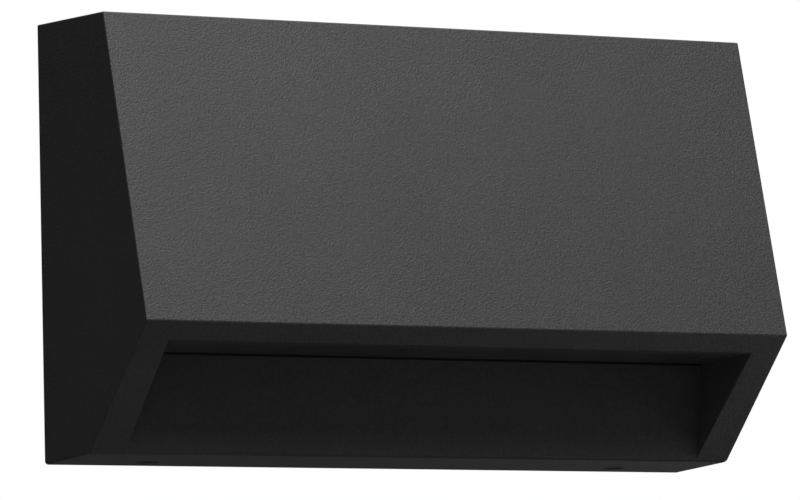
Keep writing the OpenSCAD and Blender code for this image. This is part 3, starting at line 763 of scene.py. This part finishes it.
class WALL_LIGHT_OT_conductors(bpy.types.Operator):
    """Round the conductors, colour their insulation and dress the gland they pass"""

    bl_idname = "wall_light.conductors"
    bl_label = "Conductors"

    CUT_END = radians(70)
    QUAD_TURN = radians(20)
    QUAD_SHAPE = radians(180)
    SMOOTH_TURN = radians(65)
    STRIPE_FACING = 0.72

    def rounded(self, node, *finishes, stripe=lambda face: 0):
        """Dresses a conductor with its facets rounded and its cut ends left flat."""
        bm = joined(node)
        crease = bm.edges.layers.float.new("crease_edge")
        for edge in bm.edges:
            if edge.is_manifold and edge.calc_face_angle() > self.CUT_END:
                edge[crease] = 1.0
        bmesh.ops.join_triangles(bm, faces=bm.faces, angle_face_threshold=self.QUAD_TURN,
                                 angle_shape_threshold=self.QUAD_SHAPE)
        for face in bm.faces:
            face.material_index = stripe(face)
        piece = dress(node, bm, *finishes, smooth=self.SMOOTH_TURN)
        piece.modifiers.clear()
        rounder = piece.modifiers.new("Round", "SUBSURF")
        rounder.levels = rounder.render_levels = 1

    def execute(self, context):
        settings = context.scene.wall_light_parts
        self.rounded("live_wire", insulation("brown_insulation", settings.live))
        self.rounded("neutral_wire", insulation("blue_insulation", settings.neutral))
        self.rounded("earth_wire", insulation("green_insulation", settings.earth),
                     insulation("yellow_stripe", settings.earth_stripe),
                     stripe=lambda face: int(abs(face.normal.y) > self.STRIPE_FACING))
        self.rounded("led_positive_wire", insulation("red_insulation", settings.positive))
        self.rounded("led_negative_wire", insulation("black_insulation", settings.negative))
        broken("wire_gland", settings.screw_edge, black_rubber(settings))
        return {"FINISHED"}


class WALL_LIGHT_OT_wall_plate(bpy.types.Operator):
    """Dress the wall plate, its gasket, the cable grommet and the casting's seal"""

    bl_idname = "wall_light.wall_plate"
    bl_label = "Wall plate"

    def execute(self, context):
        settings = context.scene.wall_light_parts
        plate = made_once("zinc_plate", drawn_metal, settings.zinc, 0.34, ROLLED)
        broken("back_plate", settings.plate_edge, plate)
        broken("wall_gasket", settings.seal_edge, made_once("black_foam", foam, settings.foam))
        broken("cable_grommet", settings.moulded_edge, black_rubber(settings))
        broken("rim_seal", settings.seal_edge, black_rubber(settings))
        return {"FINISHED"}


class WALL_LIGHT_OT_locking_screws(bpy.types.Operator):
    """Dress the two blackened locking screws"""

    bl_idname = "wall_light.locking_screws"
    bl_label = "Locking screws"

    def execute(self, context):
        settings = context.scene.wall_light_parts
        black = made_once("black_steel", drawn_metal, settings.steel, 0.38, BLACKENED)
        for node in ("grub_screw_left", "grub_screw_right"):
            broken(node, settings.cut_edge, black)
        return {"FINISHED"}


# Studio


class WALL_LIGHT_OT_studio(bpy.types.Operator):
    """Set up the floor, the lamps, the black surround, the world and the camera"""

    bl_idname = "wall_light.studio"
    bl_label = "Studio"

    CAMERA_PLACE = (-0.6278, -1.1846, -0.1343)
    CAMERA_TURN = radians(28.2389)
    CAMERA_RISE = radians(5.7488)
    CAMERA_ROLL = radians(-1.3020)
    CAMERA_SENSOR = 36
    CAMERA_NEAR = 0.01
    LAMP_TARGET = Vector((0, -0.02, 0))
    FLAG_FACES = 180
    FLAG_SLIT = (radians(36), radians(38))

    def floor(self, side, drop, finish):
        bm = bmesh.new()
        bmesh.ops.create_grid(bm, x_segments=1, y_segments=1, size=side/2)
        bmesh.ops.translate(bm, vec=(0, 0, -drop), verts=bm.verts)
        panel = linked("floor", meshed("floor", bm, finish))

    def surround(self, radius, low, high, finish):
        """A black tub that only reflections see, open above, with a slit at the back."""
        bm = bmesh.new()
        rim = bmesh.ops.create_circle(bm, cap_ends=True, segments=self.FLAG_FACES, radius=radius)
        bmesh.ops.translate(bm, vec=(0, 0, low), verts=rim["verts"])
        wall = bmesh.ops.extrude_edge_only(bm, edges=bm.edges[:])["geom"]
        edge = [v for v in wall if isinstance(v, bmesh.types.BMVert)]
        bmesh.ops.translate(bm, vec=(0, 0, high - low), verts=edge)
        first, last = self.FLAG_SLIT

        def in_slit(face):
            middle = face.calc_center_median()
            return abs(face.normal.z) < ALONG_AXIS and first < atan2(middle.x, middle.y) < last

        bmesh.ops.delete(bm, geom=[f for f in bm.faces if in_slit(f)], context="FACES")
        tub = linked("surround", meshed("surround", bm, finish))
        tub.visible_camera = tub.visible_diffuse = tub.visible_shadow = tub.visible_transmission = False

    def lamp(self, name, watts, size, spot):
        """A square softbox at a spot, turned to the wall light."""
        light = bpy.data.lights.new(name, "AREA")
        light.energy = watts
        light.shape = "SQUARE"
        light.size = size
        turn = (self.LAMP_TARGET - Vector(spot)).to_track_quat("-Z", "Y").to_matrix().to_4x4()
        linked(name, light).matrix_world = Matrix.Translation(spot) @ turn

    def world(self, level):
        """White where the camera, a reflection or glass sees it, and a plain level as light."""
        world = bpy.data.worlds.new("studio")
        bpy.context.scene.world = world
        world.use_nodes = True
        sky = Nodes(world.node_tree)
        background = sky.tree.nodes["Background"]
        background.inputs["Color"].default_value = WHITE
        span = sky.node("ShaderNodeMapRange", sockets={"Value": sky.seen(), "To Min": level, "To Max": 1.0})
        sky.tree.links.new(span.socket, background.inputs["Strength"])

    def camera(self, lens):
        """The camera of the reference view, from its turn, rise and roll."""
        turn, rise = self.CAMERA_TURN, self.CAMERA_RISE
        ahead = Vector((sin(turn)*cos(rise), cos(turn)*cos(rise), sin(rise)))
        level = Vector((cos(turn), -sin(turn), 0))
        tip = asin(sin(self.CAMERA_ROLL)/cos(rise))
        right = level*cos(tip) + level.cross(ahead)*sin(tip)
        up = right.cross(ahead)
        data = bpy.data.cameras.new("camera")
        data.lens = lens
        data.sensor_width = self.CAMERA_SENSOR
        data.clip_start = self.CAMERA_NEAR
        camera = linked("camera", data)
        axes = Matrix((right, up, -ahead)).transposed().to_4x4()
        camera.matrix_world = Matrix.Translation(self.CAMERA_PLACE) @ axes
        bpy.context.scene.camera = camera

    def execute(self, context):
        s = context.scene.wall_light_studio
        context.scene.view_settings.view_transform = "Standard"
        self.floor(s.floor_side, s.floor_drop, pale_paper("pale_floor", s))
        self.lamp("key", s.key_power, s.key_size, s.key_place)
        self.lamp("fill", s.fill_power, s.fill_size, s.fill_place)
        self.surround(s.flag_radius, s.flag_clearance - s.floor_drop, s.flag_top, black_card("black_card", s))
        self.world(s.sky)
        self.camera(s.lens)
        return {"FINISHED"}


# Panel and registration

SETTINGS = {
    "wall_light_casting": CastingSettings,
    "wall_light_parts": PartSettings,
    "wall_light_studio": StudioSettings,
}
STEPS = (
    WALL_LIGHT_OT_casting,
    WALL_LIGHT_OT_window,
    WALL_LIGHT_OT_light_source,
    WALL_LIGHT_OT_driver,
    WALL_LIGHT_OT_terminals,
    WALL_LIGHT_OT_earth,
    WALL_LIGHT_OT_conductors,
    WALL_LIGHT_OT_wall_plate,
    WALL_LIGHT_OT_locking_screws,
    WALL_LIGHT_OT_studio,
)


class WALL_LIGHT_PT_panel(bpy.types.Panel):
    """The settings, and a button for each step"""

    bl_label = "Wall Light"
    bl_idname = "WALL_LIGHT_PT_panel"
    bl_space_type = "VIEW_3D"
    bl_region_type = "UI"
    bl_category = "Wall Light"

    def draw(self, context):
        for name, group in SETTINGS.items():
            box = self.layout.box()
            for setting in group.__annotations__:
                box.prop(getattr(context.scene, name), setting)
        for step in STEPS:
            self.layout.operator(step.bl_idname)


CLASSES = (*SETTINGS.values(), *STEPS, WALL_LIGHT_PT_panel)


def register():
    for cls in CLASSES:
        bpy.utils.register_class(cls)
    for name, group in SETTINGS.items():
        setattr(bpy.types.Scene, name, PointerProperty(type=group))


def unregister():
    for name in SETTINGS:
        delattr(bpy.types.Scene, name)
    for cls in reversed(CLASSES):
        bpy.utils.unregister_class(cls)


def main():
    register()
    bpy.ops.wall_light.casting()
    bpy.ops.wall_light.window()
    bpy.ops.wall_light.light_source()
    bpy.ops.wall_light.driver()
    bpy.ops.wall_light.terminals()
    bpy.ops.wall_light.earth()
    bpy.ops.wall_light.conductors()
    bpy.ops.wall_light.wall_plate()
    bpy.ops.wall_light.locking_screws()
    bpy.ops.wall_light.studio()


if __name__ == "__main__":
    main()
